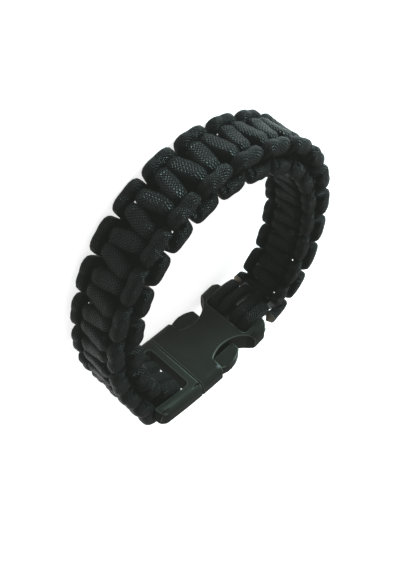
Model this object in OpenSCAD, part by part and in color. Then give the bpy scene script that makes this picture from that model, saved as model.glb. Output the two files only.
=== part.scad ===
// A knotted cord bracelet, closed by a side-release buckle and lying on its side.
// +Z is the axis of the wrist hole. The origin is the middle of the outline, on the floor.
// The buckle lies along X at the back, and the band runs from its slotted half round the
// front to its windowed half.

/* [Cord] */
// Diameter of the cord
cord_d = 4; // [3.6:0.1:4.2]
// Diameter of the cord where it is wound round a bar
wound_d = 3.6; // [3.3:0.05:3.6]

/* [Loop] */
// Width of the loop along the buckle, between the middles of the band
loop_w = 71; // [66:1:84]
// Depth of the loop from the buckle to the middle of the front
loop_d = 67; // [62:1:78]
// Distance from the slotted half's bar to the first knot
first_knot = 6.2; // [6:0.1:8]
// Distance from the last knot to the windowed half's bar
last_knot = 9.4; // [9:0.1:12]

/* [Buckle] */
// Length of the closed buckle
buckle_l = 42.7; // [41:0.1:48]
// Width of the buckle
buckle_w = 23; // [22:0.5:26]
// Thickness of the buckle
buckle_t = 7; // [6.6:0.1:8]
// Radius of the face that lies on the wrist
contour_r = 95; // [80:1:200]
// Width of the webbing slots
slot_w = 16; // [15.6:0.1:17]
// Length of the windowed half that shows, up to the joint
male_l = 15.2; // [14.6:0.1:17]
// Opening of the window along the buckle
window_l = 9.6; // [8:0.1:10]
// Opening of the slot along the buckle
slot_l = 3.95; // [3.9:0.05:4.6]
// Diameter of the bar at the window
male_bar_d = 3.2; // [2.8:0.1:3.6]
// Diameter of the bar at the slot
female_bar_d = 3; // [2.6:0.1:3.4]
// Wall of the slotted half
wall = 1.3; // [1.2:0.1:1.6]
// Gap between the two halves
fit_gap = 0.25; // [0.2:0.05:0.35]
// Distance from the joint to the side cut-outs
latch_x = 8.3; // [7.5:0.1:9]
// Radius of a side cut-out's curve
latch_r = 9; // [8.5:0.1:9.5]
// Half width of the body between the cut-outs
waist = 5.6; // [5:0.1:6]
// Width of a prong arm
arm_w = 2.5; // [2.2:0.1:2.8]

/* [Hidden] */

black_plastic = [0.10, 0.11, 0.11];
black_cord = [0.07, 0.08, 0.08];

// Least gap kept between cords, and between a cord and a bar
cord_gap = 0.12;
// Bites that keep cuts clear of the faces they pass through
over = 1;

// The buckle: places along X, from its middle, and depths from the contour's centre.
half_l = buckle_l / 2;
half_w = buckle_w / 2;
slot_h = slot_w / 2;
joint_x = half_l - male_l;
male_bar_x = half_l - male_bar_d / 2;
window_end = half_l - male_bar_d;
female_bar_x = -half_l + female_bar_d / 2;
slot_end = -half_l + female_bar_d;
slot_start = slot_end + slot_l;
cutout_x = joint_x - latch_x;
contour_mid = contour_r + buckle_t / 2;
cavity_t = buckle_t - 2 * wall;
cavity_h = half_w - wall;
latch_mid = cutout_x - 5;
corner_r = 3;

// Bars lie at half the buckle's thickness, on the contour.
function on_contour(x) = sqrt(contour_mid * contour_mid - x * x) - contour_mid;
female_bar = [female_bar_x, on_contour(female_bar_x)];
male_bar = [male_bar_x, on_contour(male_bar_x)];

// Route of the band's middle from the slotted half's bar to the windowed half's bar.
// Columns: x as a share of loop_w, y as a share of loop_d, from the buckle's middle.
BAND_ROUTE = [
    [-0.375, -0.015],
    [-0.520, -0.115],
    [-0.590, -0.245],
    [-0.630, -0.460],
    [-0.600, -0.680],
    [-0.490, -0.865],
    [-0.310, -0.970],
    [-0.100, -1.000],
    [0.100, -0.940],
    [0.255, -0.805],
    [0.350, -0.610],
    [0.370, -0.390],
    [0.320, -0.180]
];

// One crossing of a knotting cord, from the middle of the band to the middle of its turn.
// Columns: across, along, outward, lean, half side, half thick.
// Across, outward and the halves are shares of cord_d, along is a share of the knot pitch,
// and lean is the angle of the cord's outer side from the band's edge.
ACROSS = 0;
ALONG = 1;
OUTWARD = 2;
LEAN = 3;
HALF_SIDE = 4;
HALF_THICK = 5;
CROSSING = [
    [0.375, -0.07, 0.785, 84, 0.510, 0.390],
    [0.930, -0.15, 0.715, 70, 0.410, 0.440],
    [1.075, -0.25, 0.335, 34, 0.280, 0.275],
    [1.510, -0.25, -0.325, 29, 0.290, 0.425],
    [1.690, 0.00, -0.765, -7, 0.490, 0.355],
    [1.720, 0.50, -0.710, 0, 0.510, 0.340]
];
last_row = len(CROSSING) - 1;
// The turn's middle gives the half width and half thickness of the band.
band_h = cord_d * (CROSSING[last_row][ACROSS] + CROSSING[last_row][HALF_THICK]);
band_t = cord_d * (CROSSING[last_row][HALF_SIDE] - CROSSING[last_row][OUTWARD]);
// Core strands: place from the middle, half width and half thickness, in shares of cord_d.
core_at = 0.435;
core_h = 0.385;
core_t = 0.290;
// A knot takes this share of cord_d along the band, or a little more.
knot_share = 1.19;
// Sides of a cord's section
SIDES = 8;

// Points and lengths along the route.
ends = [female_bar, male_bar];
route = concat(
    [female_bar],
    [for (r = BAND_ROUTE) [r[0] * loop_w, r[1] * loop_d]],
    [male_bar]
);
last_point = len(route) - 1;
STEPS = 12;
function route_slope(i) =
    i <= 1 ? (route[1] - route[0]) / norm(route[1] - route[0]) * norm(route[2] - route[1]) :
    i >= last_point - 1 ? (route[last_point] - route[last_point - 1])
        / norm(route[last_point] - route[last_point - 1])
        * norm(route[last_point - 1] - route[last_point - 2]) :
    (route[i + 1] - route[i - 1]) / 2;
function straight(i) = i == 0 || i == last_point - 1;
function route_piece(i, t) = straight(i) ? route[i] + (route[i + 1] - route[i]) * t :
    (2 * t * t * t - 3 * t * t + 1) * route[i]
    + (t * t * t - 2 * t * t + t) * route_slope(i)
    + (3 * t * t - 2 * t * t * t) * route[i + 1]
    + (t * t * t - t * t) * route_slope(i + 1);
fine = concat(
    [for (i = [0:last_point - 1]) for (j = [0:STEPS - 1]) route_piece(i, j / STEPS)],
    [male_bar]
);
runs = [
    for (i = 0, s = 0; i < len(fine); s = s + (i + 1 < len(fine) ? norm(fine[i + 1] - fine[i]) : 0), i = i + 1)
    s
];
route_len = runs[len(fine) - 1];
along_x = [for (i = [0:len(fine) - 1]) [runs[i], fine[i][0]]];
along_y = [for (i = [0:len(fine) - 1]) [runs[i], fine[i][1]]];

// Knots: an even number of crossings, evenly spaced between the two ends.
weave_len = route_len - first_knot - last_knot;
knots = 2 * floor(weave_len / (2 * knot_share * cord_d));
pitch = weave_len / knots;

// The whole outline, from which the origin is taken.
left = min([for (p = fine) p[0]]) - band_t;
right = max([for (p = fine) p[0]]) + band_t;
front = min([for (p = fine) p[1]]) - band_t;
back = buckle_t / 2;
centre = [(left + right) / 2, (front + back) / 2];

// The band sinks from the buckle's middle until its front edge lies on the floor.
level_d = 8;
sink = (half_w - band_h) / (-level_d - band_t - front);

// A place on the band's middle line, past its ends too.
function clamp(s) = max(0, min(route_len, s));
function run_at(s) = [lookup(s, along_x), lookup(s, along_y)];
function heading(s) = let (
        c = max(1, min(route_len - 1, s)),
        h = run_at(c + 1) - run_at(c - 1)
    ) h / norm(h);
function band_at(s) = run_at(clamp(s)) + (s - clamp(s)) * heading(s);
// A point given across the band towards the floor, along its middle line and outward.
function on_band(p) = let (
        h = heading(p[1]),
        m = band_at(p[1])
    ) [
        m[0] + h[1] * p[2] - centre[0],
        m[1] - h[0] * p[2] - centre[1],
        half_w + sink * min(0, m[1] + level_d) - p[0]
    ];

// Sweeps an eight-sided cord along rows of place, lean and half sizes in the band's frame.
corner = tan(180 / SIDES);
SECTION = [
    [1, -corner], [1, corner], [corner, 1], [-corner, 1],
    [-1, corner], [-1, -corner], [-corner, -1], [corner, -1]
];
function unit(v) = v / norm(v);
function place(r) = [r[ACROSS], r[ALONG], r[OUTWARD]];
function cord_way(rows, i) = unit(
    place(rows[min(i + 1, len(rows) - 1)]) - place(rows[max(i - 1, 0)])
);
function cord_ring(rows, i) = let (
        way = cord_way(rows, i),
        lean = [cos(rows[i][LEAN]), 0, sin(rows[i][LEAN])],
        thick = unit(lean - (lean * way) * way),
        side = cross(thick, way)
    ) [
        for (c = SECTION)
        on_band(place(rows[i]) + side * c[0] * rows[i][HALF_SIDE] + thick * c[1] * rows[i][HALF_THICK])
    ];
module cord(rows) {
    n = len(rows);
    points = [for (i = [0:n - 1]) each cord_ring(rows, i)];
    walls = [
        for (i = [0:n - 2]) for (j = [0:SIDES - 1])
        let (a = i * SIDES + j, b = i * SIDES + (j + 1) % SIDES)
        each [[a, a + SIDES, b], [b, a + SIDES, b + SIDES]]
    ];
    first_cap = [[for (j = [0:SIDES - 1]) j]];
    last_cap = [[for (j = [SIDES - 1:-1:0]) (n - 1) * SIDES + j]];
    polyhedron(points, concat(walls, first_cap, last_cap), convexity = 10);
}

// Row i of crossing k: 1 to row_count run from the middle of the crossing, and their
// negatives run back from it. Odd crossings go the other way across.
row_count = len(CROSSING);
function crossing_row(k, i) = let (
        r = CROSSING[abs(i) - 1],
        turn = i < 0 ? -1 : 1,
        way = k % 2 == 0 ? turn : -turn
    ) [
        way * r[ACROSS] * cord_d,
        first_knot + (k + turn * r[ALONG]) * pitch,
        r[OUTWARD] * cord_d,
        way > 0 ? r[LEAN] : 180 - r[LEAN],
        r[HALF_SIDE] * cord_d,
        r[HALF_THICK] * cord_d
    ];
// Half a turn about the band's middle line makes the front cord the back cord.
function turned(r) = [-r[0], r[1], -r[2], r[3] + 180, r[4], r[5]];

// Passes round the bars: two each side of the middle, that fill the webbing slots.
lift = wound_d / 2 + 0.2;
outer_pass = slot_h - cord_gap - wound_d / 2;
inner_pass = outer_pass - wound_d - cord_gap;
// A row on a bar at run s0, at the angle a from the band's side over the outer side.
// The band lies on the side of the bar that way names.
function bar_row(s0, way, bar_d, x, a, lean = 0) = [
    x,
    s0 + way * (bar_d / 2 + lift) * cos(a),
    (bar_d / 2 + lift) * sin(a),
    lean,
    wound_d / 2,
    wound_d / 2
];
function slot_row(x, a, lean = 0) = bar_row(0, 1, female_bar_d, x, a, lean);
// The passes stand off the windowed half's bar by this much on the window's side of it,
// which is where side and the sine of a have the same sign.
window_slack = 4;
function window_row(x, a, side = -1) = bar_row(route_len, -1, male_bar_d, x, a)
    + [0, 0, side * sin(a) > 0 ? window_slack * sin(a) : 0, 0, 0, 0];
// Where the loose ends lie inside the band, measured along it from the bar.
slot_tail = 5.4;
bend_tail = 7.4;
knot_tail = 5.5;
core_tail = 6.2;
// A loose end lies this much nearer to the band's middle than its pass.
tuck = 0.1;
// A row of wound cord, at a place across, along and outward.
function free_row(x, s, n, lean = 0, size = 1) = [
    x, s, n, lean, size * wound_d / 2, size * wound_d / 2
];

// The knotting cord starts at a melted end beside the slotted half and runs through the
// crossings, and then it passes round the windowed half's bar.
pad_at = last_row_place(ACROSS);
pad_out = last_row_place(OUTWARD);
function last_row_place(column) = CROSSING[row_count - 1][column] * cord_d;
knots_start = first_knot + 0.5 * pitch;
knots_end = first_knot + (knots + 0.5) * pitch;
function knot_rows(side) = concat(
    [
        free_row(pad_at, knots_start - 2.3, pad_out, size = 0.45),
        free_row(pad_at, knots_start - 2.0, pad_out, size = 0.80),
        free_row(pad_at, knots_start - 1.3, pad_out, size = 0.92)
    ],
    [
        for (k = [1:knots]) for (i = [-row_count:row_count])
        if (i != 0 && !(i == -row_count && k > 1)) crossing_row(k, i)
    ],
    [for (a = [330:-30:60]) window_row(outer_pass, a, side)],
    [free_row(outer_pass, route_len - knot_tail, male_bar_d / 2 + lift - tuck)]
);

module front_cord() {
    color(black_cord) cord(knot_rows(-1));
}
module back_cord() {
    color(black_cord) cord([for (r = knot_rows(1)) turned(r)]);
}

// A core strand runs from a pass on the slotted half's bar to one on the windowed half's.
function core_row(s) = [
    core_at * cord_d, s, 0, 0, core_t * cord_d, core_h * cord_d
];
core_rows = concat(
    [free_row(outer_pass, slot_tail, -female_bar_d / 2 - lift)],
    [for (a = [270:-30:60]) slot_row(outer_pass, a)],
    [free_row((outer_pass + core_at * cord_d) / 2, 0.6 * knots_start, 1.3, size = 0.92)],
    [for (i = [0:0.5:2.5]) core_row(knots_start + i * pitch)],
    [for (i = [3:knots]) core_row(knots_start + i * pitch)],
    [free_row(inner_pass, route_len - 3.9, 1.9, size = 0.95)],
    [for (a = [60:30:300]) window_row(inner_pass, a)],
    [free_row(inner_pass, route_len - core_tail, -male_bar_d / 2 - lift + tuck)]
);
function mirrored(r) = [-r[0], r[1], r[2], 180 - r[3], r[4], r[5]];
// A short bend of cord joins the two middle passes on the slotted half's bar.
bend_n = female_bar_d / 2 + lift;
half_bend = concat(
    [free_row(inner_pass - 0.3, bend_tail, -bend_n + tuck)],
    [for (a = [270:-30:90]) slot_row(inner_pass, a)],
    [free_row(0.7 * inner_pass, 1.5, bend_n, lean = 45)]
);
bend_rows = concat(
    half_bend,
    [free_row(0, 2.2, bend_n, lean = 90)],
    [for (i = [len(half_bend) - 1:-1:0]) mirrored(half_bend[i])]
);
module core_cord() {
    color(black_cord) {
        cord(core_rows);
        cord([for (i = [len(core_rows) - 1:-1:0]) mirrored(core_rows[i])]);
        cord(bend_rows);
    }
}

// The buckle's parts are cut from a slab that follows the contour.
module rounded(w, h, r) {
    square([w - 2 * r, h], center = true);
    square([w, h - 2 * r], center = true);
    for (x = [-1, 1]) for (y = [-1, 1])
        translate([x * (w / 2 - r), y * (h / 2 - r)]) circle(r, $fn = 48);
}
module slab(thick, high, round_r) {
    spread = asin((half_l + over) / contour_mid) + 1;
    translate([-centre[0], -contour_mid - centre[1], half_w])
        rotate([0, 0, 90 - spread])
            rotate_extrude(angle = 2 * spread, $fn = 360)
                translate([contour_mid, 0]) rounded(thick, high, round_r);
}
// A plan outline, drawn in X and Z, cut right through the buckle.
module through() {
    translate([-centre[0], buckle_t - centre[1], half_w])
        rotate([90, 0, 0]) linear_extrude(3 * buckle_t) children();
}
module bar(at, d) {
    translate([at[0] - centre[0], at[1] - centre[1], over])
        cylinder(d = d, h = buckle_w - 2 * over, $fn = 48);
}
module span(x0, x1, h) {
    translate([x0, -h]) square([x1 - x0, 2 * h]);
}

// A slot's plan with rounded corners.
module slot_plan(x0, x1) {
    translate([(x0 + x1) / 2, 0]) rounded(x1 - x0, 2 * slot_h, 1);
}
// The plan of an end: full width from x0, with its two corners rounded at half_l.
module end_plan(x0) {
    span(x0, half_l - corner_r, half_w);
    span(half_l - corner_r - over, half_l, half_w - corner_r);
    for (z = [-1, 1])
        translate([half_l - corner_r, z * (half_w - corner_r)]) circle(corner_r, $fn = 48);
}
module latch_cut() {
    intersection() {
        translate([latch_mid, waist + latch_r]) circle(latch_r, $fn = 96);
        translate([latch_mid - 2 * latch_r, 0]) square([cutout_x - latch_mid + 2 * latch_r, buckle_w]);
    }
}
module arm_plan() {
    head_r = 8;
    head_l = 8.4;
    arm_z = waist + 1;
    translate([cutout_x - 2, arm_z]) square([latch_x + 2 + over, arm_w]);
    intersection() {
        translate([cutout_x - 3.4, half_w - 0.3 - head_r]) circle(head_r, $fn = 96);
        translate([cutout_x - head_l, arm_z]) square([head_l - fit_gap, half_w]);
    }
}
module male_buckle() {
    color(black_plastic) {
        difference() {
            intersection() {
                slab(buckle_t, buckle_w, 2.4);
                through() end_plan(joint_x);
            }
            through() slot_plan(window_end - window_l, half_l + 2 * over);
        }
        bar(male_bar, male_bar_d);
        intersection() {
            slab(cavity_t - 2 * fit_gap, buckle_w, 0.6);
            through() {
                arm_plan();
                mirror([0, 1]) arm_plan();
                span(cutout_x + over, joint_x + over, 1.4);
            }
        }
    }
}
module female_buckle() {
    color(black_plastic) {
        difference() {
            intersection() {
                slab(buckle_t, buckle_w, 2.4);
                through() mirror([1, 0]) end_plan(fit_gap - joint_x);
            }
            through() slot_plan(-half_l - 2 * over, slot_start);
            through() {
                latch_cut();
                mirror([0, 1]) latch_cut();
            }
            intersection() {
                slab(cavity_t, 2 * cavity_h, 0.6);
                through() span(latch_mid - 3, joint_x + over, cavity_h + over);
            }
        }
        bar(female_bar, female_bar_d);
    }
}

male_buckle();
female_buckle();
core_cord();
front_cord();
back_cord();
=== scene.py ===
from bisect import bisect_right
import math

import bmesh
import bpy
from mathutils import Matrix, Vector


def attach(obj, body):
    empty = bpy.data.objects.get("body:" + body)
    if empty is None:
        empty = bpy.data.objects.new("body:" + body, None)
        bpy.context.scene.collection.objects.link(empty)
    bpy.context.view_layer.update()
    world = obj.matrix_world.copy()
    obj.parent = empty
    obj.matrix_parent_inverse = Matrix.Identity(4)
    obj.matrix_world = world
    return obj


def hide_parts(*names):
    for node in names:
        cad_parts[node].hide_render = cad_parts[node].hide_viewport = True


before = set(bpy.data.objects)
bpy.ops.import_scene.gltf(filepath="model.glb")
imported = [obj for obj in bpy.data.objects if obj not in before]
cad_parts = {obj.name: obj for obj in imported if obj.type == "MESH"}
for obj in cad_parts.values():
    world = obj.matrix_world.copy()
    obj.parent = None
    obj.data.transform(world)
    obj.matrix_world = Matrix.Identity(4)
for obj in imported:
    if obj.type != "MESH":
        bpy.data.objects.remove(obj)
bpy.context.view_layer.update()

MM = 0.001

# A fitted view of the photograph: its height and the focal length, both in pixels.
PHOTO_H = 570
FOCAL_PX = 773.6
# The camera's place in mm, and the ways to the right, down and into the picture.
VIEW_FROM = (90.82, -158.61, 99.91)
VIEW_RIGHT = (-0.70762, 0.00960, 0.70652)
VIEW_DOWN = (0.56757, 0.60329, 0.56027)
VIEW_AHEAD = (-0.42086, 0.79747, -0.43235)
# The sensor's long side in mm, and the nearest and farthest that it sees in metres.
SENSOR = 36
NEAR, FAR = 0.01, 10

camera = bpy.data.objects.new("camera", bpy.data.cameras.new("camera"))
bpy.context.scene.collection.objects.link(camera)
camera.data.sensor_fit = "AUTO"
camera.data.sensor_width = SENSOR
camera.data.lens = FOCAL_PX / PHOTO_H * SENSOR
camera.data.clip_start = NEAR
camera.data.clip_end = FAR
turn = Matrix([VIEW_RIGHT, [-v for v in VIEW_DOWN], [-v for v in VIEW_AHEAD]]).transposed()
camera.matrix_world = Matrix.Translation(Vector(VIEW_FROM) * MM) @ turn.to_4x4()
bpy.context.scene.camera = camera

# Sizes in mm and the band's route, both as in the CAD source.
# The diameter of the cord, and of the cord where it is wound round a bar.
CORD_D, WOUND_D = 4.0, 3.6
# The loop between the middles of the band: along the buckle, and from it to the front.
LOOP = (71.0, 67.0)
# From each bar to the first and the last knot.
FIRST_KNOT, LAST_KNOT = 6.2, 9.4
BUCKLE_L, BUCKLE_W, BUCKLE_T = 42.7, 23.0, 7.0
# The radius of the buckle's face on the wrist, and half the width of its webbing slots.
CONTOUR_R = 95.0
SLOT_HALF = 8.0
WINDOW_BAR_D, SLOT_BAR_D = 3.2, 3.0
# In front of the buckle, the band is level for this far and then begins to sink.
LEVEL_D = 8.0
# The least gaps between two cords, and between a wound cord and its bar.
GAP, BAR_GAP = 0.12, 0.2
# A knot takes this share of the cord's diameter along the band, or a little more.
KNOT_SHARE = 1.19

# The band's middle between the two bars, in shares of LOOP from the buckle's middle.
ROUTE = [
    (-0.375, -0.015), (-0.520, -0.115), (-0.590, -0.245), (-0.630, -0.460),
    (-0.600, -0.680), (-0.490, -0.865), (-0.310, -0.970), (-0.100, -1.000),
    (0.100, -0.940), (0.255, -0.805), (0.350, -0.610), (0.370, -0.390), (0.320, -0.180),
]
# Points on each stretch of the route.
ROUTE_STEPS = 12
# One crossing of a working cord, from the band's middle to the pad at its edge: across,
# along, outward, lean, half side and half thickness. The lean is in degrees, the place
# along is a share of the knots' pitch, and the others are shares of the cord's diameter.
CROSSING = [
    (0.375, -0.07, 0.785, 84, 0.510, 0.390),
    (0.930, -0.15, 0.715, 70, 0.410, 0.440),
    (1.075, -0.25, 0.335, 34, 0.280, 0.275),
    (1.510, -0.25, -0.325, 29, 0.290, 0.425),
    (1.690, 0.00, -0.765, -7, 0.490, 0.355),
    (1.720, 0.50, -0.710, 0, 0.510, 0.340),
]
ROWS = len(CROSSING)
PAD_ACROSS, _, PAD_OUTWARD, _, PAD_SIDE, PAD_THICK = CROSSING[-1]
# A core strand inside the knots: its place from the middle, half width and half thickness.
CORE_AT, CORE_H, CORE_T = 0.435 * CORD_D, 0.385 * CORD_D, 0.290 * CORD_D

MID_R = CONTOUR_R + BUCKLE_T / 2


def on_contour(x):
    """The buckle's middle surface at x, on its contour."""
    return math.sqrt(MID_R * MID_R - x * x) - MID_R


slot_bar = Vector((-BUCKLE_L / 2 + SLOT_BAR_D / 2, 0))
slot_bar.y = on_contour(slot_bar.x)
window_bar = Vector((BUCKLE_L / 2 - WINDOW_BAR_D / 2, 0))
window_bar.y = on_contour(window_bar.x)


def curve_weights(t):
    """Shares of a point, its slope, the next point and its slope, at t of the way between."""
    return (
        2 * t**3 - 3 * t * t + 1, t**3 - 2 * t * t + t,
        3 * t * t - 2 * t**3, t**3 - t * t,
    )


def route_points():
    """Points along the band's middle line, straight at both ends and curved between."""
    stops = [slot_bar] + [Vector((x * LOOP[0], y * LOOP[1])) for x, y in ROUTE] + [window_bar]
    last = len(stops) - 1

    def slope(i):
        if i <= 1:
            return (stops[1] - stops[0]).normalized() * (stops[2] - stops[1]).length
        if i >= last - 1:
            way = (stops[last] - stops[last - 1]).normalized()
            return way * (stops[last - 1] - stops[last - 2]).length
        return (stops[i + 1] - stops[i - 1]) / 2

    points = []
    for i in range(last):
        for j in range(ROUTE_STEPS):
            t = j / ROUTE_STEPS
            if i in (0, last - 1):
                points.append(stops[i].lerp(stops[i + 1], t))
            else:
                a, b, c, d = curve_weights(t)
                points.append(a * stops[i] + b * slope(i) + c * stops[i + 1] + d * slope(i + 1))
    return points + [window_bar]


middle = route_points()
runs = [0.0]
for low, high in zip(middle, middle[1:]):
    runs.append(runs[-1] + (high - low).length)
BAND_L = runs[-1]
WEAVE_L = BAND_L - FIRST_KNOT - LAST_KNOT
KNOTS = 2 * int(WEAVE_L / (2 * KNOT_SHARE * CORD_D))
PITCH = WEAVE_L / KNOTS

# The band is narrower than the buckle, so it sinks until its front edge meets the floor.
HALF_BAND_T = CORD_D * (PAD_SIDE - PAD_OUTWARD)
HALF_BAND_W = CORD_D * (PAD_ACROSS + PAD_THICK)
front_y = min(p.y for p in middle) - HALF_BAND_T
centre = Vector((
    (min(p.x for p in middle) + max(p.x for p in middle)) / 2,
    (front_y + BUCKLE_T / 2) / 2,
))
SINK = (BUCKLE_W / 2 - HALF_BAND_W) / (-LEVEL_D - HALF_BAND_T - front_y)

# The band's direction at a place is read between two points this far from it.
REACH = 1


def run_at(s):
    """The point of the middle line s mm along the band."""
    s = min(max(s, 0), BAND_L)
    low = min(bisect_right(runs, s), len(runs) - 1) - 1
    t = (s - runs[low]) / (runs[low + 1] - runs[low])
    return middle[low].lerp(middle[low + 1], t)


def on_band(p):
    """Maps a point across, along and outward of the straight band to metres on the loop."""
    across, along, outward = p
    near = min(max(along, REACH), BAND_L - REACH)
    ahead = (run_at(near + REACH) - run_at(near - REACH)).normalized()
    inside = min(max(along, 0), BAND_L)
    m = run_at(along) + (along - inside) * ahead
    return Vector((
        m.x + ahead.y * outward - centre.x,
        m.y - ahead.x * outward - centre.y,
        BUCKLE_W / 2 + SINK * min(0, m.y + LEVEL_D) - across,
    )) * MM


# The ways of the cords, in the straight band. A row is a place on a way with the section
# there: across, along and outward, lean in degrees, half side and half thickness.
def crossing_row(k, i):
    """Row i of crossing k: 1 to ROWS run from its middle, and their negatives back from it."""
    across, along, outward, lean, side, thick = CROSSING[abs(i) - 1]
    half = -1 if i < 0 else 1
    way = half if k % 2 == 0 else -half
    return (
        way * across * CORD_D, FIRST_KNOT + (k + half * along) * PITCH, outward * CORD_D,
        lean if way > 0 else 180 - lean, side * CORD_D, thick * CORD_D,
    )


def half_turned(r):
    """The row turned half round about the band's middle line: the other working cord."""
    return (-r[0], r[1], -r[2], r[3] + 180, r[4], r[5])


def mirrored(r):
    """The row on the band's other half."""
    return (-r[0], r[1], r[2], 180 - r[3], r[4], r[5])


# Two passes on each side of the middle fill a webbing slot.
LIFT = WOUND_D / 2 + BAR_GAP
OUTER_PASS = SLOT_HALF - GAP - WOUND_D / 2
INNER_PASS = OUTER_PASS - WOUND_D - GAP
# The passes stand off the windowed half's bar by this much on the window's side of it.
WINDOW_SLACK = 4.0
# Angles of the rows round a bar, in degrees from the band's side over the outer side.
KNOT_TURN = range(330, 30, -30)
CORE_SLOT_TURN = range(270, 30, -30)
CORE_WINDOW_TURN = range(60, 330, 30)
BEND_TURN = range(270, 60, -30)
# Where the loose ends lie inside the band, from the bar, and how far inward they are tucked.
SLOT_TAIL, BEND_TAIL, KNOT_TAIL, CORE_TAIL = 5.4, 7.4, 5.5, 6.2
TUCK = 0.1


def free_row(x, s, n, lean=0, size=1.0):
    """A row of round cord, as it is where it isn't knotted."""
    return (x, s, n, lean, size * WOUND_D / 2, size * WOUND_D / 2)


def bar_row(s0, way, bar_d, x, angle):
    """A row of a pass round a bar at s0, with the band on the side that way names."""
    a = math.radians(angle)
    r = bar_d / 2 + LIFT
    return free_row(x, s0 + way * r * math.cos(a), r * math.sin(a))


def slot_row(x, angle):
    """A row of a pass round the slotted half's bar."""
    return bar_row(0, 1, SLOT_BAR_D, x, angle)


def window_row(x, angle, side=-1):
    """A row round the windowed half's bar, slack on the inner side or, with side 1, the outer."""
    x, s, n, lean, half_side, half_thick = bar_row(BAND_L, -1, WINDOW_BAR_D, x, angle)
    rise = math.sin(math.radians(angle))
    if side * rise > 0:
        n += WINDOW_SLACK * rise
    return (x, s, n, lean, half_side, half_thick)


PAD_AT, PAD_OUT = PAD_ACROSS * CORD_D, PAD_OUTWARD * CORD_D
KNOTS_START = FIRST_KNOT + 0.5 * PITCH
# A working cord's first rows: mm before its first pad, and share of the size.
FIRST_ROWS = ((2.3, 0.45), (2.0, 0.80), (1.3, 0.92))


def knot_rows(side):
    """A working cord: a melted end, the crossings, and a pass round the windowed half's bar."""
    rows = [free_row(PAD_AT, KNOTS_START - back, PAD_OUT, size=size) for back, size in FIRST_ROWS]
    for k in range(1, KNOTS + 1):
        # A crossing's first row is the last of the one before it.
        for i in range(-ROWS, ROWS + 1):
            if i != 0 and (k == 1 or i > -ROWS):
                rows.append(crossing_row(k, i))
    rows += [window_row(OUTER_PASS, a, side) for a in KNOT_TURN]
    rows.append(free_row(OUTER_PASS, BAND_L - KNOT_TAIL, WINDOW_BAR_D / 2 + LIFT - TUCK))
    return rows


# A core strand is this much wider each way than in the source, and moved inward as much,
# so that the two all but touch and no light shows between them.
BULGE = 0.08
# Its rows are half a pitch apart for this many pitches, where the band curls.
CURLED = 3
# Where a core strand runs from the slotted half's bar into the knots: share of the way to
# them, mm outward, and share of the size.
SLOT_JOIN = (0.6, 1.3, 0.92)
# The same at the windowed half's bar: mm from the bar, mm outward, and share of the size.
WINDOW_JOIN = (3.9, 1.9, 0.95)


def core_row(s):
    """A row of a core strand inside the knots."""
    return (CORE_AT - BULGE, s, 0, 0, CORE_T, CORE_H + BULGE)


def core_strand():
    """A core strand: a pass on the slotted half's bar, the knots, and one on the other bar."""
    rows = [free_row(OUTER_PASS, SLOT_TAIL, -SLOT_BAR_D / 2 - LIFT)]
    rows += [slot_row(OUTER_PASS, a) for a in CORE_SLOT_TURN]
    at, out, size = SLOT_JOIN
    rows.append(free_row((OUTER_PASS + CORE_AT) / 2, at * KNOTS_START, out, size=size))
    rows += [core_row(KNOTS_START + i * PITCH / 2) for i in range(2 * CURLED)]
    rows += [core_row(KNOTS_START + i * PITCH) for i in range(CURLED, KNOTS + 1)]
    at, out, size = WINDOW_JOIN
    rows.append(free_row(INNER_PASS, BAND_L - at, out, size=size))
    rows += [window_row(INNER_PASS, a) for a in CORE_WINDOW_TURN]
    rows.append(free_row(INNER_PASS, BAND_L - CORE_TAIL, -WINDOW_BAR_D / 2 - LIFT + TUCK))
    return rows


# The bend's height over the bar's middle, and how much nearer to the middle its loose ends lie.
BEND_N = SLOT_BAR_D / 2 + LIFT
BEND_IN = 0.3
# Its corners lie at this share of the pass across and this far along, and its middle at
# the last distance along.
CORNER_SHARE, CORNER_AT, BEND_AT = 0.7, 1.5, 2.2


def short_bend():
    """The bend of cord that joins the two middle passes on the slotted half's bar."""
    half = [free_row(INNER_PASS - BEND_IN, BEND_TAIL, -BEND_N + TUCK)]
    half += [slot_row(INNER_PASS, a) for a in BEND_TURN]
    half.append(free_row(CORNER_SHARE * INNER_PASS, CORNER_AT, BEND_N, lean=45))
    return half + [free_row(0, BEND_AT, BEND_N, lean=90)] + [mirrored(r) for r in reversed(half)]


# The distance between two rings of a sheath, and the least taken between two rows.
RING_GAP, ROW_GAP = 0.45, 0.05


def eased(rows):
    """The rows on a smooth curve through the given ones, about RING_GAP mm apart."""
    gaps = [max((Vector(b[:3]) - Vector(a[:3])).length, ROW_GAP) for a, b in zip(rows, rows[1:])]

    def slope(i):
        if i == 0 or i == len(rows) - 1:
            j = min(i, len(rows) - 2)
            return [(q - p) / gaps[j] for p, q in zip(rows[j], rows[j + 1])]
        g, h = gaps[i - 1], gaps[i]
        return [
            ((q - p) / g * h + (r - q) / h * g) / (g + h)
            for p, q, r in zip(rows[i - 1], rows[i], rows[i + 1])
        ]

    slopes = [slope(i) for i in range(len(rows))]
    smooth = []
    for i, h in enumerate(gaps):
        steps = max(1, round(h / RING_GAP))
        for j in range(steps):
            a, b, c, d = curve_weights(j / steps)
            smooth.append(tuple(
                a * p + b * h * m + c * q + d * h * k
                for p, q, m, k in zip(rows[i], rows[i + 1], slopes[i], slopes[i + 1])
            ))
    return smooth + [rows[-1]]


# The rings that round a cord's end: shares of the end's length and of its size.
END_RINGS = ((0.0, 0.35), (0.12, 0.68), (0.4, 0.9))
END_LENGTH = 0.8


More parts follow.
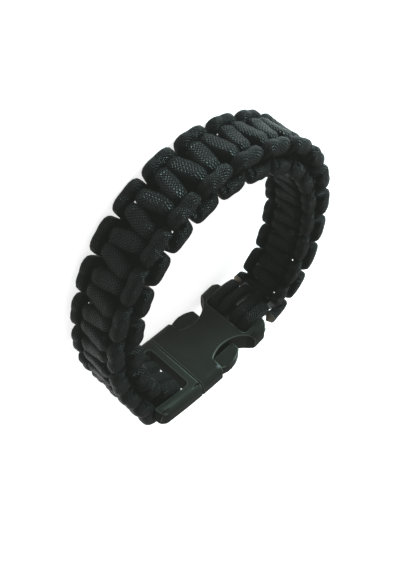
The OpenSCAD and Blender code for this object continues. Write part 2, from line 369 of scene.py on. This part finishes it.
def rounded_ends(rows):
    """Rows whose first and last stretch draws in, as a cut and melted end does."""
    for _ in range(2):
        run = 0.0
        last = 0
        while run < END_LENGTH and last < len(rows) - 2:
            run += (Vector(rows[last + 1][:3]) - Vector(rows[last][:3])).length
            last += 1
        tip = [
            tuple(p + (q - p) * t for p, q in zip(rows[0], rows[last]))[:4]
            + (rows[0][4] * size, rows[0][5] * size)
            for t, size in END_RINGS
        ]
        rows = (tip + rows[last:])[::-1]
    return rows


# The sides of a sheath's section.
SHEATH_SIDES = 22
# The half sides at which a cord is squeezed to an ellipse, and at which it has room to
# stand squarer, with the powers that draw the two sections.
NARROW, ROOMY = 0.29 * CORD_D, 0.46 * CORD_D
ROUND, SQUARE = 2.0, 3.6
# The share of its thickness that a cord loses where it is squeezed.
PINCH = 0.14


def section(rows, i, knotted):
    """The points of one ring of cord, in the straight band."""
    room = min(max((rows[i][4] - NARROW) / (ROOMY - NARROW), 0), 1) if knotted else 1
    squareness = ROUND + (SQUARE - ROUND) * room * room
    pinched = 1 - PINCH * (1 - room * room)
    here = Vector(rows[i][:3])
    ahead = Vector(rows[min(i + 1, len(rows) - 1)][:3])
    way = (ahead - Vector(rows[max(i - 1, 0)][:3])).normalized()
    lean = math.radians(rows[i][3])
    thick = Vector((math.cos(lean), 0, math.sin(lean)))
    thick = (thick - thick.dot(way) * way).normalized()
    side = thick.cross(way)
    ring = []
    for j in range(SHEATH_SIDES):
        a = 2 * math.pi * j / SHEATH_SIDES
        c, s = math.cos(a), math.sin(a)
        r = (abs(c) ** squareness + abs(s) ** squareness) ** (-1 / squareness)
        ring.append(here + r * (side * c * rows[i][4] + thick * s * rows[i][5] * pinched))
    return ring


def new_object(name, bm):
    """Puts a finished bmesh into the scene."""
    mesh = bpy.data.meshes.new(name)
    bm.to_mesh(mesh)
    bm.free()
    thing = bpy.data.objects.new(name, mesh)
    bpy.context.scene.collection.objects.link(thing)
    return thing


# The stretch over which a melted end turns to braid, in mm along the cord.
MELT = (1.1, 2.4)


def sheathed(name, strands, replaced, knotted=True):
    """One piece of cord from the rows of its strands, mapped round the cord and along it."""
    bm = bmesh.new()
    sheath = bm.loops.layers.uv.new("sheath")
    for rows in strands:
        rows = rounded_ends(eased(rows))
        rings = []
        # Only the working cords end where it shows, and only those ends look melted.
        run = 0.0 if knotted else MELT[1]
        for i in range(len(rows)):
            points = [on_band(p) for p in section(rows, i, knotted)]
            mid = sum(points, Vector()) / SHEATH_SIDES
            if rings:
                run += (mid - rings[-1][2]).length / MM
            rings.append(([bm.verts.new(p) for p in points], run, mid))
        for (low, s0, _), (high, s1, _) in zip(rings, rings[1:]):
            for j in range(SHEATH_SIDES):
                k = (j + 1) % SHEATH_SIDES
                face = bm.faces.new((low[j], high[j], high[k], low[k]))
                for loop, uv in zip(face.loops, ((j, s0), (j, s1), (j + 1, s1), (j + 1, s0))):
                    loop[sheath].uv = (uv[0] / SHEATH_SIDES, uv[1])
        for ring, flip in ((rings[0], False), (rings[-1], True)):
            cap = bm.faces.new(ring[0][::-1] if flip else ring[0])
            for loop in cap.loops:
                loop[sheath].uv = (0.5, ring[1])
    bmesh.ops.recalc_face_normals(bm, faces=bm.faces)
    for f in bm.faces:
        f.smooth = True
    piece = new_object(name, bm)
    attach(piece, "root")
    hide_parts(replaced)
    return piece


# The chamfer of the buckle's outer edges, and the widths in mm under which corners merge
# before it and after it.
CHAMFER = 0.3
SAME_PLACE, SLIVER = 0.001, 0.005
# Degrees between two faces: flat enough to be one, and sharp enough to be an edge.
FLAT, SHARP = 1, 40
# How nearly a drawn wall faces along the buckle, and how much its large faces set the shading.
FACES_ALONG = 0.8
LARGE_FACE_WEIGHT = 80
MARKED, PLAIN = (1, 1, 1, 1), (0, 0, 0, 1)


def moulded(source):
    """A half of the buckle with its outer edges broken, as a mould and wear leave them, and the
    broken edges marked for a painted highlight.
    """
    bm = bmesh.new()
    bm.from_mesh(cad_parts[source].data)
    bmesh.ops.remove_doubles(bm, verts=bm.verts, dist=SAME_PLACE * MM)
    bmesh.ops.dissolve_limit(bm, angle_limit=math.radians(FLAT), verts=bm.verts, edges=bm.edges)
    sharp = [e for e in bm.edges if e.is_convex and e.calc_face_angle(0) > math.radians(SHARP)]
    broken = set(bmesh.ops.bevel(
        bm, geom=sharp, offset=CHAMFER * MM, offset_type="OFFSET", segments=1,
        profile=0.5, affect="EDGES", clamp_overlap=False, material=-1,
    )["faces"])
    # The chamfers are marked for a painted highlight, and the walls that face along the buckle for
    # a matt finish.
    painted_edge_highlight = bm.loops.layers.float_color.new("painted_edge_highlight")
    drawn = bm.loops.layers.float_color.new("drawn")
    for f in bm.faces:
        for loop in f.loops:
            loop[painted_edge_highlight] = MARKED if f in broken else PLAIN
            loop[drawn] = MARKED if f.normal.x > FACES_ALONG else PLAIN
    bmesh.ops.remove_doubles(bm, verts=bm.verts, dist=SLIVER * MM)
    for f in bm.faces:
        f.smooth = True
    piece = new_object(source + "_moulded", bm)
    normals = piece.modifiers.new("even_normals", "WEIGHTED_NORMAL")
    normals.weight = LARGE_FACE_WEIGHT
    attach(piece, "root")
    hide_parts(source)
    return piece


def linear(hex_code):
    """An sRGB hex colour as linear values."""
    values = [int(hex_code[i:i + 2], 16) / 255 for i in (1, 3, 5)]
    return tuple(v / 12.92 if v <= 0.04045 else ((v + 0.055) / 1.055) ** 2.4 for v in values) + (1,)


def noise_scale(size):
    """The scale at which a noise pattern's features are about size mm across."""
    return 1 / (size * MM)


def add_node(tree, kind, inputs=None, **settings):
    """Adds a node. Its inputs are given values, or outputs of other nodes to link from."""
    node = tree.nodes.new(kind)
    for name, value in settings.items():
        setattr(node, name, value)
    for socket, value in (inputs or {}).items():
        if isinstance(value, bpy.types.NodeSocket):
            tree.links.new(value, node.inputs[socket])
        else:
            node.inputs[socket].default_value = value
    return node


def new_material(name):
    """A material and its node tree, still empty."""
    material = bpy.data.materials.new(name)
    material.use_nodes = True
    material.node_tree.nodes.clear()
    return material, material.node_tree


# A sheath of 32 bundles has 16 of each hand. They cross every PICK mm along it.
BUNDLES = 16.0
PICK = 0.85
# Powers that round a bundle: across it, and along it, where it is long and nearly flat.
ROUND_ACROSS, ROUND_ALONG = 0.8, 0.35
# How far a bundle stands over the gaps beside it, in mm, drawn a little deep so it shows.
BUNDLE_RISE = 0.30
# The size of the clouds in the dye, and the shares in the colour of the relief, as painted shade in
# the gaps between the bundles, and of the clouds.
CLOUD = 2.5
GROOVE_SHADE_SHARE, CLOUD_SHARE = 0.7, 0.3
# The colour's dark and pale ends: dye that is also painted shade in the gaps between the bundles
# and a painted highlight on their crowns. Then the melted end's colour.
DARK_DYE_AND_GROOVE_SHADE, PALE_DYE_AND_CROWN_HIGHLIGHT, MELT_TINT_AND_GLINT = "#040504", "#0f1210", "#6b6457"
# Nylon's IOR is about 1.53. The photograph's haze and the rough fibres leave far less of
# its gloss, so it is matched to that.
NYLON_ROUGHNESS, NYLON_IOR = 0.33, 1.165

# The sums that draw the braid: name, operation, and inputs that are numbers or names of
# earlier sums. They start from the place round the sheath, the run along it in mm, the
# clouds, and how melted the cord is. Each bundle goes over one and under one.
BRAID_SUMS = (
    ("bundles", "MULTIPLY", "round", BUNDLES),
    ("picks", "MULTIPLY", "run", 1 / PICK),
    ("right", "ADD", "bundles", "picks"),
    ("left", "SUBTRACT", "bundles", "picks"),
    ("right number", "FLOOR", "right"),
    ("left number", "FLOOR", "left"),
    ("number", "ADD", "right number", "left number"),
    ("right over", "FLOORED_MODULO", "number", 2.0),
    ("left over", "SUBTRACT", 1.0, "right over"),
    ("right angle", "MULTIPLY", "right", math.pi),
    ("left angle", "MULTIPLY", "left", math.pi),
    ("right wave", "SINE", "right angle"),
    ("left wave", "SINE", "left angle"),
    ("right arch", "ABSOLUTE", "right wave"),
    ("left arch", "ABSOLUTE", "left wave"),
    ("right width", "POWER", "right arch", ROUND_ACROSS),
    ("right length", "POWER", "left arch", ROUND_ALONG),
    ("right bundle", "MULTIPLY", "right width", "right length"),
    ("left width", "POWER", "left arch", ROUND_ACROSS),
    ("left length", "POWER", "right arch", ROUND_ALONG),
    ("left bundle", "MULTIPLY", "left width", "left length"),
    ("right shown", "MULTIPLY", "right bundle", "right over"),
    ("left shown", "MULTIPLY", "left bundle", "left over"),
    ("braid", "ADD", "right shown", "left shown"),
    ("braided", "SUBTRACT", 1.0, "melted"),
    ("relief", "MULTIPLY", "braid", "braided"),
    # Painted shade that follows the relief down into the gaps between the bundles.
    ("painted groove shade", "MULTIPLY", "relief", GROOVE_SHADE_SHARE),
    ("cloud shade", "MULTIPLY", "clouds", CLOUD_SHARE),
    ("shade", "ADD", "painted groove shade", "cloud shade"),
)


def braided_nylon():
    """Nylon braided round a core: a fine diamond relief, with painted shade black between the
    bundles and a painted highlight on their crowns.

    The first millimetres of a working cord are melted: smooth, and painted a pale brownish grey,
    partly the melt's own tint and partly a painted glint.
    """
    material, tree = new_material("braided_nylon_sheath")
    sheath = add_node(tree, "ShaderNodeUVMap", uv_map="sheath").outputs[0]
    split = add_node(tree, "ShaderNodeSeparateXYZ", {0: sheath})
    melted = add_node(tree, "ShaderNodeMapRange", {
        "Value": split.outputs[1], "From Min": MELT[0], "From Max": MELT[1],
        "To Min": 1.0, "To Max": 0.0,
    }).outputs[0]
    place = add_node(tree, "ShaderNodeTexCoord").outputs["Object"]
    clouds = add_node(tree, "ShaderNodeTexNoise", {
        "Vector": place, "Scale": noise_scale(CLOUD), "Detail": 3.0,
    }).outputs[0]
    sums = {"round": split.outputs[0], "run": split.outputs[1], "melted": melted, "clouds": clouds}
    for name, operation, *inputs in BRAID_SUMS:
        sources = {i: sums.get(value, value) for i, value in enumerate(inputs)}
        sums[name] = add_node(tree, "ShaderNodeMath", sources, operation=operation).outputs[0]
    # Painted shade: the colour goes dark in the gaps between the bundles and pale on their crowns,
    # mixed with the dye's clouds.
    dye_and_groove_shade = add_node(tree, "ShaderNodeMix", {
        "Factor": sums["shade"], 6: linear(DARK_DYE_AND_GROOVE_SHADE), 7: linear(PALE_DYE_AND_CROWN_HIGHLIGHT),
    }, data_type="RGBA").outputs[2]
    # The melted end: its own brownish tint, painted pale as a glint on the melt.
    colour = add_node(tree, "ShaderNodeMix", {
        "Factor": melted, 6: dye_and_groove_shade, 7: linear(MELT_TINT_AND_GLINT),
    }, data_type="RGBA").outputs[2]
    bump = add_node(tree, "ShaderNodeBump", {
        "Height": sums["relief"], "Strength": 1.0, "Distance": BUNDLE_RISE * MM,
    }).outputs[0]
    shader = add_node(tree, "ShaderNodeBsdfPrincipled", {
        "Base Color": colour, "Normal": bump, "Roughness": NYLON_ROUGHNESS, "IOR": NYLON_IOR,
    })
    add_node(tree, "ShaderNodeOutputMaterial", {0: shader.outputs[0]})
    return material


# The mould's spark grain is about 0.05 mm, too fine to show, so it is drawn coarser.
GRAIN = 1 / 3.5
GRAIN_DEPTH, GRAIN_STRENGTH = 0.05, 0.25
# The size of the cloudy streaks that the plastic's flow leaves.
FLOW = 100 / 9
# The flow's dark and pale tones, and a painted highlight for the chamfered edges.
FLOW_DARK, FLOW_PALE, EDGE_HIGHLIGHT = "#0b0c0a", "#22241e", "#42463f"
# A moulded face is satin, and a wall that was dragged along the mould is matt.
SATIN, MATT = 0.42, 1.0
# Acetal's IOR is about 1.48. Its gloss is matched to the photograph's haze.
ACETAL_IOR, ACETAL_SPECULAR = 1.4, 0.10


def moulded_acetal():
    """Acetal, injection moulded in a finely sparked mould: satin black, with a painted highlight on
    its chamfered edges.
    """
    material, tree = new_material("moulded_acetal")
    place = add_node(tree, "ShaderNodeTexCoord").outputs["Object"]
    grain = add_node(tree, "ShaderNodeTexNoise", {
        "Vector": place, "Scale": noise_scale(GRAIN), "Detail": 2.0,
    }).outputs[0]
    bump = add_node(tree, "ShaderNodeBump", {
        "Height": grain, "Strength": GRAIN_STRENGTH, "Distance": GRAIN_DEPTH * MM,
    }).outputs[0]
    flow = add_node(tree, "ShaderNodeTexNoise", {
        "Vector": place, "Scale": noise_scale(FLOW), "Detail": 4.0,
    }).outputs[0]
    face = add_node(tree, "ShaderNodeMix", {
        "Factor": flow, 6: linear(FLOW_DARK), 7: linear(FLOW_PALE),
    }, data_type="RGBA").outputs[2]
    # Painted highlight: the chamfered edges are given a pale colour.
    painted_edge_highlight = add_node(tree, "ShaderNodeAttribute", attribute_name="painted_edge_highlight").outputs["Fac"]
    colour = add_node(tree, "ShaderNodeMix", {
        "Factor": painted_edge_highlight, 6: face, 7: linear(EDGE_HIGHLIGHT),
    }, data_type="RGBA").outputs[2]
    drawn = add_node(tree, "ShaderNodeAttribute", attribute_name="drawn").outputs["Fac"]
    rough = add_node(tree, "ShaderNodeMapRange", {
        "Value": drawn, "To Min": SATIN, "To Max": MATT,
    }).outputs[0]
    shader = add_node(tree, "ShaderNodeBsdfPrincipled", {
        "Base Color": colour, "Normal": bump, "Roughness": rough,
        "IOR": ACETAL_IOR, "Specular IOR Level": ACETAL_SPECULAR,
    })
    add_node(tree, "ShaderNodeOutputMaterial", {0: shader.outputs[0]})
    return material


PAPER, PAPER_ROUGHNESS, PAPER_GLOW = "#f4f4f4", 0.9, 0.78


def pale_paper():
    """White paper on a light table: it glows a little, so the shadows on it stay faint."""
    material, tree = new_material("pale_paper")
    shader = add_node(tree, "ShaderNodeBsdfPrincipled", {
        "Base Color": linear(PAPER), "Roughness": PAPER_ROUGHNESS,
        "Emission Color": linear("#ffffff"), "Emission Strength": PAPER_GLOW,
    })
    add_node(tree, "ShaderNodeOutputMaterial", {0: shader.outputs[0]})
    return material


nylon = braided_nylon()
acetal = moulded_acetal()

core_strands = [core_strand(), [mirrored(r) for r in core_strand()], short_bend()]
front = sheathed("front_cord_sheath", [knot_rows(-1)], "front_cord")
back = sheathed("back_cord_sheath", [[half_turned(r) for r in knot_rows(1)]], "back_cord")
core = sheathed("core_cord_sheath", core_strands, "core_cord", knotted=False)
for piece in (front, back, core):
    piece.data.materials.append(nylon)

for name in ("male_buckle", "female_buckle"):
    moulded(name).data.materials.append(acetal)

# A pale floor, given by the metres from its middle to each edge.
FLOOR_HALF = 4
bm = bmesh.new()
bmesh.ops.create_grid(bm, x_segments=1, y_segments=1, size=FLOOR_HALF)
floor = new_object("floor", bm)
floor.data.materials.append(pale_paper())

WORLD_STRENGTH = 0.38
world = bpy.data.worlds.new("studio")
bpy.context.scene.world = world
world.use_nodes = True
world.node_tree.nodes["Background"].inputs[0].default_value = linear("#ffffff")
world.node_tree.nodes["Background"].inputs[1].default_value = WORLD_STRENGTH

# The photograph's blacks are lifted by haze, so the picture's own darkest tone is a dark grey.
HAZE = (-0.0108, -0.0122, -0.0110)
view = bpy.context.scene.view_settings
view.view_transform = "Standard"
view.use_curve_mapping = True
view.curve_mapping.black_level = HAZE
view.curve_mapping.update()

# A cool low light, as of a window, from beyond the photograph's top right corner, and a
# wide soft light overhead: name, place and aim in metres, width in metres, watts and colour.
LAMPS = (
    ("window", (-0.55, -0.28, 0.13), (0, 0, 0.01), 0.18, 14.0, "#ccefef"),
    ("overhead", (0.1, 0.1, 0.9), (0, 0, 0), 0.9, 0.6, "#ffffff"),
)
for name, place, aim, width, watts, colour in LAMPS:
    data = bpy.data.lights.new(name, "AREA")
    data.shape = "DISK"
    data.size = width
    data.energy = watts
    data.color = linear(colour)[:3]
    lamp = bpy.data.objects.new(name, data)
    bpy.context.scene.collection.objects.link(lamp)
    lamp.location = place
    lamp.rotation_euler = (Vector(aim) - Vector(place)).to_track_quat("-Z", "Y").to_euler()
